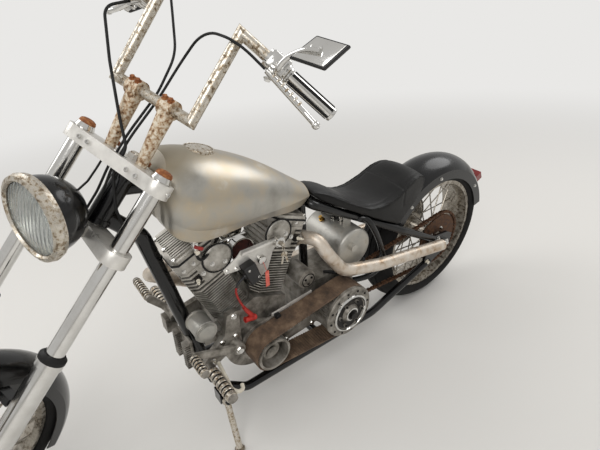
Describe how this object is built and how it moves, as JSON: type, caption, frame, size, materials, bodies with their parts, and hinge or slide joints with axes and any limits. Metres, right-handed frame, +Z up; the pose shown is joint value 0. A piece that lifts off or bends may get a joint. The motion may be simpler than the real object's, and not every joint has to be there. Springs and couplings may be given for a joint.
{
  "type": "chopper motorcycle",
  "caption": "Long low chopper with a V twin engine, open belt drive, raked fork, tall bent bars and rigid rear end, parked on its side stand with the fork turned left.",
  "frame": {"origin": "middle of the bounding box on the floor, with the bike leaning on its side stand", "axes": "+X to the rider's left, +Y to the rear along the bike's length, +Z up"},
  "size_m": [0.716, 2.4697, 1.4531],
  "materials": {
    "black_paint": "gloss black paint with dust and chips",
    "bare_steel": "bare brushed steel, patchy",
    "cast_aluminium": "dull cast aluminium with dirt between the fins",
    "polished_aluminium": "polished flat aluminium",
    "chrome": "pitted chrome",
    "rusty_steel": "rusted plating",
    "dark_steel": "dark dusty steel",
    "tyre_rubber": "worn black tyre",
    "belt_rubber": "dusty brown toothed belt",
    "grip_rubber": "ribbed grip",
    "hose_rubber": "black hose and cable cover",
    "lead_rubber": "faded grey plug lead",
    "red_rubber": "red plug boot",
    "black_leather": "worn black leather",
    "lamp_glass": "fluted glass",
    "red_lens": "red lens",
    "black_plastic": "black moulded plastic"
  },
  "bodies": {
    "frame": {"frame_spine": "black_paint", "frame_cradle": "black_paint", "frame_upper_rails": "black_paint", "axle_plates": "black_paint", "rear_axle": "chrome", "crankcase": "cast_aluminium", "cylinders": "cast_aluminium", "cylinder_heads": "cast_aluminium", "rocker_boxes": "cast_aluminium", "pushrod_tubes": "chrome", "air_cleaner": "chrome", "transmission": "cast_aluminium", "motor_plate": "cast_aluminium", "crank_pulley": "cast_aluminium", "clutch_drum": "cast_aluminium", "primary_belt": "belt_rubber", "starter_motor": "dark_steel", "drive_chain": "rusty_steel", "front_sprocket": "dark_steel", "oil_tank": "bare_steel", "oil_filter": "bare_steel", "ignition_coil": "black_plastic", "voltage_regulator": "cast_aluminium", "exhaust_left": "rusty_steel", "exhaust_right": "rusty_steel", "fuel_tank": "bare_steel", "fuel_cap": "bare_steel", "seat": "black_leather", "rear_fender": "black_paint", "tail_lamp": "red_lens", "foot_control_left": "cast_aluminium", "foot_control_right": "cast_aluminium", "rear_caliper": "cast_aluminium", "plug_lead": "lead_rubber", "plug_boot": "red_rubber"},
    "fork": {"top_clamp": "polished_aluminium", "bottom_clamp": "polished_aluminium", "fork_tubes": "chrome", "fork_lowers": "chrome", "front_axle": "chrome", "front_caliper": "cast_aluminium", "front_fender": "black_paint", "headlamp_shell": "black_paint", "headlamp_ring": "chrome", "headlamp_lens": "lamp_glass", "risers": "rusty_steel", "handlebar": "chrome", "grips": "grip_rubber", "clutch_lever": "chrome", "brake_lever": "chrome", "mirrors": "chrome", "control_cables": "hose_rubber"},
    "front_wheel": {"front_tyre": "tyre_rubber", "front_wheel": "chrome", "front_disc": "bare_steel"},
    "rear_wheel": {"rear_tyre": "tyre_rubber", "rear_wheel": "chrome", "rear_sprocket": "rusty_steel", "rear_disc": "bare_steel"},
    "side_stand": {"side_stand": "chrome"}
  },
  "joints": [
    {"name": "steering", "type": "hinge", "parent": "frame", "child": "fork", "pos_m": [-0.03735, -0.26281, 0.95543], "axis": [0.0897, 0.6769, 0.7306], "range_deg": [-48.8, 0]},
    {"name": "front_wheel_spin", "type": "hinge", "parent": "fork", "child": "front_wheel", "pos_m": [-0.09648, -0.90598, 0.31967], "axis": [0.8698, 0.3041, -0.3885], "continuous": true},
    {"name": "rear_wheel_spin", "type": "hinge", "parent": "frame", "child": "rear_wheel", "pos_m": [-0.11498, 0.87919, 0.32317], "axis": [0.9925, 0, -0.1219], "continuous": true},
    {"name": "side_stand_hinge", "type": "hinge", "parent": "frame", "child": "side_stand", "pos_m": [0.00387, -0.17881, 0.14234], "axis": [0.8689, 0, 0.4949], "range_deg": [0, 92]}
  ]
}
